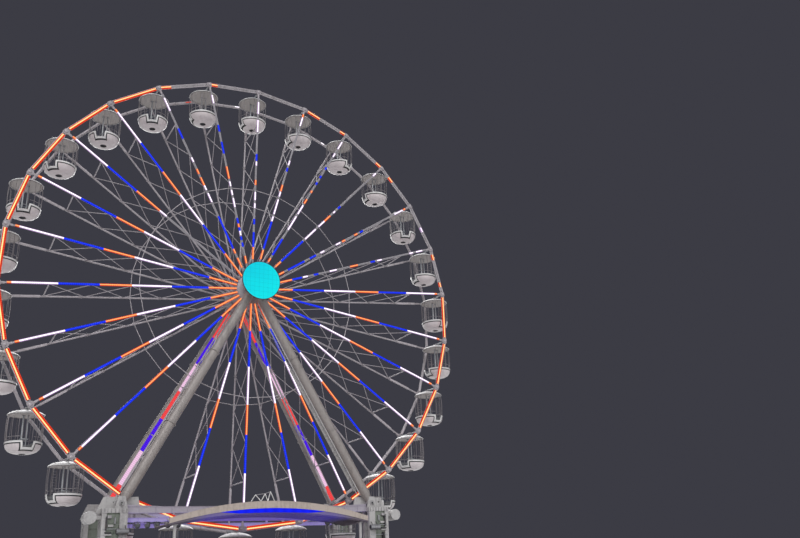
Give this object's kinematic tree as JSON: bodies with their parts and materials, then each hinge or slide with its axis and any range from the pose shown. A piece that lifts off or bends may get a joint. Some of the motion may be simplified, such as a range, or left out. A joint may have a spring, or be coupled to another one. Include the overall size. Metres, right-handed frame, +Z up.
{
  "type": "ferris wheel",
  "caption": "Ferris wheel with two lit spoked rims, round open cabins hung between them, a display disc at the hub, braced legs, boarding deck and arched canopy.",
  "frame": {"origin": "on the ground under the middle of the hub, on the underside of the centre sill", "axes": "+Z up, +Y from the boarding side to the back along the wheel's axle, +X to the right as seen from the boarding side"},
  "size_m": [34.6294, 13.5403, 37.0314],
  "materials": {
    "white_steel": "satin white paint",
    "grey_steel": "satin grey paint",
    "galvanised_steel": "dull galvanised",
    "deck_boards": "matt tread plate",
    "display": "lit display face",
    "canopy": "satin light grey paint",
    "cabin_shell": "glossy off-white"
  },
  "bodies": {
    "stand": {"main_axle": "grey_steel", "leg_head_front": "white_steel", "leg_head_rear": "white_steel", "leg_front_left": "white_steel", "leg_front_right": "white_steel", "leg_rear_left": "white_steel", "leg_rear_right": "white_steel", "display_disc": "display", "tower_front_left": "white_steel", "tower_front_right": "white_steel", "tower_rear_left": "white_steel", "tower_rear_right": "white_steel", "truss_front": "white_steel", "truss_rear": "white_steel", "sill_left": "galvanised_steel", "sill_right": "galvanised_steel", "sill_front": "galvanised_steel", "sill_rear": "galvanised_steel", "sill_centre": "galvanised_steel", "deck": "deck_boards", "stair": "deck_boards", "railing_front_left": "galvanised_steel", "railing_front_right": "galvanised_steel", "railing_left": "galvanised_steel", "railing_right": "galvanised_steel", "railing_rear": "galvanised_steel", "canopy_arch": "canopy", "canopy_roof": "canopy", "canopy_post_left": "white_steel", "canopy_post_right": "white_steel"},
    "wheel": {"front_wheel_frame": "white_steel", "rear_wheel_frame": "white_steel", "wheel_bracing": "white_steel", "hub_drum": "grey_steel"},
    "cabin_01": {"cabin_01": "cabin_shell"},
    "cabin_02": {"cabin_02": "cabin_shell"},
    "cabin_03": {"cabin_03": "cabin_shell"},
    "cabin_04": {"cabin_04": "cabin_shell"},
    "cabin_05": {"cabin_05": "cabin_shell"},
    "cabin_06": {"cabin_06": "cabin_shell"},
    "cabin_07": {"cabin_07": "cabin_shell"},
    "cabin_08": {"cabin_08": "cabin_shell"},
    "cabin_09": {"cabin_09": "cabin_shell"},
    "cabin_10": {"cabin_10": "cabin_shell"},
    "cabin_11": {"cabin_11": "cabin_shell"},
    "cabin_12": {"cabin_12": "cabin_shell"},
    "cabin_13": {"cabin_13": "cabin_shell"},
    "cabin_14": {"cabin_14": "cabin_shell"},
    "cabin_15": {"cabin_15": "cabin_shell"},
    "cabin_16": {"cabin_16": "cabin_shell"},
    "cabin_17": {"cabin_17": "cabin_shell"},
    "cabin_18": {"cabin_18": "cabin_shell"},
    "cabin_19": {"cabin_19": "cabin_shell"},
    "cabin_20": {"cabin_20": "cabin_shell"},
    "cabin_21": {"cabin_21": "cabin_shell"},
    "cabin_22": {"cabin_22": "cabin_shell"},
    "cabin_23": {"cabin_23": "cabin_shell"},
    "cabin_24": {"cabin_24": "cabin_shell"},
    "cabin_25": {"cabin_25": "cabin_shell"},
    "cabin_26": {"cabin_26": "cabin_shell"}
  },
  "joints": [
    {"name": "wheel_turn", "type": "hinge", "parent": "stand", "child": "wheel", "pos_m": [0, 0, 20.5], "axis": [0, 1, 0], "continuous": true},
    {"name": "cabin_01_swing", "type": "hinge", "parent": "wheel", "child": "cabin_01", "pos_m": [0.3015, 0, 36.7972], "axis": [0, 1, 0], "continuous": true},
    {"name": "cabin_02_swing", "type": "hinge", "parent": "wheel", "child": "cabin_02", "pos_m": [4.193, 0, 36.2515], "axis": [0, 1, 0], "continuous": true},
    {"name": "cabin_03_swing", "type": "hinge", "parent": "wheel", "child": "cabin_03", "pos_m": [7.8407, 0, 34.7903], "axis": [0, 1, 0], "continuous": true},
    {"name": "cabin_04_swing", "type": "hinge", "parent": "wheel", "child": "cabin_04", "pos_m": [11.0328, 0, 32.4987], "axis": [0, 1, 0], "continuous": true},
    {"name": "cabin_05_swing", "type": "hinge", "parent": "wheel", "child": "cabin_05", "pos_m": [13.5836, 0, 29.5097], "axis": [0, 1, 0], "continuous": true},
    {"name": "cabin_06_swing", "type": "hinge", "parent": "wheel", "child": "cabin_06", "pos_m": [15.3451, 0, 25.9971], "axis": [0, 1, 0], "continuous": true},
    {"name": "cabin_07_swing", "type": "hinge", "parent": "wheel", "child": "cabin_07", "pos_m": [16.2147, 0, 22.1651], "axis": [0, 1, 0], "continuous": true},
    {"name": "cabin_08_swing", "type": "hinge", "parent": "wheel", "child": "cabin_08", "pos_m": [16.142, 0, 18.2362], "axis": [0, 1, 0], "continuous": true},
    {"name": "cabin_09_swing", "type": "hinge", "parent": "wheel", "child": "cabin_09", "pos_m": [15.1312, 0, 14.439], "axis": [0, 1, 0], "continuous": true},
    {"name": "cabin_10_swing", "type": "hinge", "parent": "wheel", "child": "cabin_10", "pos_m": [13.241, 0, 10.994], "axis": [0, 1, 0], "continuous": true},
    {"name": "cabin_11_swing", "type": "hinge", "parent": "wheel", "child": "cabin_11", "pos_m": [10.5813, 0, 8.1014], "axis": [0, 1, 0], "continuous": true},
    {"name": "cabin_12_swing", "type": "hinge", "parent": "wheel", "child": "cabin_12", "pos_m": [7.3067, 0, 5.9294], "axis": [0, 1, 0], "continuous": true},
    {"name": "cabin_13_swing", "type": "hinge", "parent": "wheel", "child": "cabin_13", "pos_m": [3.6074, 0, 4.6042], "axis": [0, 1, 0], "continuous": true},
    {"name": "cabin_14_swing", "type": "hinge", "parent": "wheel", "child": "cabin_14", "pos_m": [-0.3015, 0, 4.2028], "axis": [0, 1, 0], "continuous": true},
    {"name": "cabin_15_swing", "type": "hinge", "parent": "wheel", "child": "cabin_15", "pos_m": [-4.193, 0, 4.7485], "axis": [0, 1, 0], "continuous": true},
    {"name": "cabin_16_swing", "type": "hinge", "parent": "wheel", "child": "cabin_16", "pos_m": [-7.8407, 0, 6.2097], "axis": [0, 1, 0], "continuous": true},
    {"name": "cabin_17_swing", "type": "hinge", "parent": "wheel", "child": "cabin_17", "pos_m": [-11.0328, 0, 8.5013], "axis": [0, 1, 0], "continuous": true},
    {"name": "cabin_18_swing", "type": "hinge", "parent": "wheel", "child": "cabin_18", "pos_m": [-13.5836, 0, 11.4903], "axis": [0, 1, 0], "continuous": true},
    {"name": "cabin_19_swing", "type": "hinge", "parent": "wheel", "child": "cabin_19", "pos_m": [-15.3451, 0, 15.0029], "axis": [0, 1, 0], "continuous": true},
    {"name": "cabin_20_swing", "type": "hinge", "parent": "wheel", "child": "cabin_20", "pos_m": [-16.2147, 0, 18.8349], "axis": [0, 1, 0], "continuous": true},
    {"name": "cabin_21_swing", "type": "hinge", "parent": "wheel", "child": "cabin_21", "pos_m": [-16.142, 0, 22.7638], "axis": [0, 1, 0], "continuous": true},
    {"name": "cabin_22_swing", "type": "hinge", "parent": "wheel", "child": "cabin_22", "pos_m": [-15.1312, 0, 26.561], "axis": [0, 1, 0], "continuous": true},
    {"name": "cabin_23_swing", "type": "hinge", "parent": "wheel", "child": "cabin_23", "pos_m": [-13.241, 0, 30.006], "axis": [0, 1, 0], "continuous": true},
    {"name": "cabin_24_swing", "type": "hinge", "parent": "wheel", "child": "cabin_24", "pos_m": [-10.5813, 0, 32.8986], "axis": [0, 1, 0], "continuous": true},
    {"name": "cabin_25_swing", "type": "hinge", "parent": "wheel", "child": "cabin_25", "pos_m": [-7.3067, 0, 35.0706], "axis": [0, 1, 0], "continuous": true},
    {"name": "cabin_26_swing", "type": "hinge", "parent": "wheel", "child": "cabin_26", "pos_m": [-3.6074, 0, 36.3958], "axis": [0, 1, 0], "continuous": true}
  ],
  "couplings": [
    {"joint": "cabin_01_swing", "follows": "wheel_turn", "ratio": -1},
    {"joint": "cabin_02_swing", "follows": "wheel_turn", "ratio": -1},
    {"joint": "cabin_03_swing", "follows": "wheel_turn", "ratio": -1},
    {"joint": "cabin_04_swing", "follows": "wheel_turn", "ratio": -1},
    {"joint": "cabin_05_swing", "follows": "wheel_turn", "ratio": -1},
    {"joint": "cabin_06_swing", "follows": "wheel_turn", "ratio": -1},
    {"joint": "cabin_07_swing", "follows": "wheel_turn", "ratio": -1},
    {"joint": "cabin_08_swing", "follows": "wheel_turn", "ratio": -1},
    {"joint": "cabin_09_swing", "follows": "wheel_turn", "ratio": -1},
    {"joint": "cabin_10_swing", "follows": "wheel_turn", "ratio": -1},
    {"joint": "cabin_11_swing", "follows": "wheel_turn", "ratio": -1},
    {"joint": "cabin_12_swing", "follows": "wheel_turn", "ratio": -1},
    {"joint": "cabin_13_swing", "follows": "wheel_turn", "ratio": -1},
    {"joint": "cabin_14_swing", "follows": "wheel_turn", "ratio": -1},
    {"joint": "cabin_15_swing", "follows": "wheel_turn", "ratio": -1},
    {"joint": "cabin_16_swing", "follows": "wheel_turn", "ratio": -1},
    {"joint": "cabin_17_swing", "follows": "wheel_turn", "ratio": -1},
    {"joint": "cabin_18_swing", "follows": "wheel_turn", "ratio": -1},
    {"joint": "cabin_19_swing", "follows": "wheel_turn", "ratio": -1},
    {"joint": "cabin_20_swing", "follows": "wheel_turn", "ratio": -1},
    {"joint": "cabin_21_swing", "follows": "wheel_turn", "ratio": -1},
    {"joint": "cabin_22_swing", "follows": "wheel_turn", "ratio": -1},
    {"joint": "cabin_23_swing", "follows": "wheel_turn", "ratio": -1},
    {"joint": "cabin_24_swing", "follows": "wheel_turn", "ratio": -1},
    {"joint": "cabin_25_swing", "follows": "wheel_turn", "ratio": -1},
    {"joint": "cabin_26_swing", "follows": "wheel_turn", "ratio": -1}
  ]
}
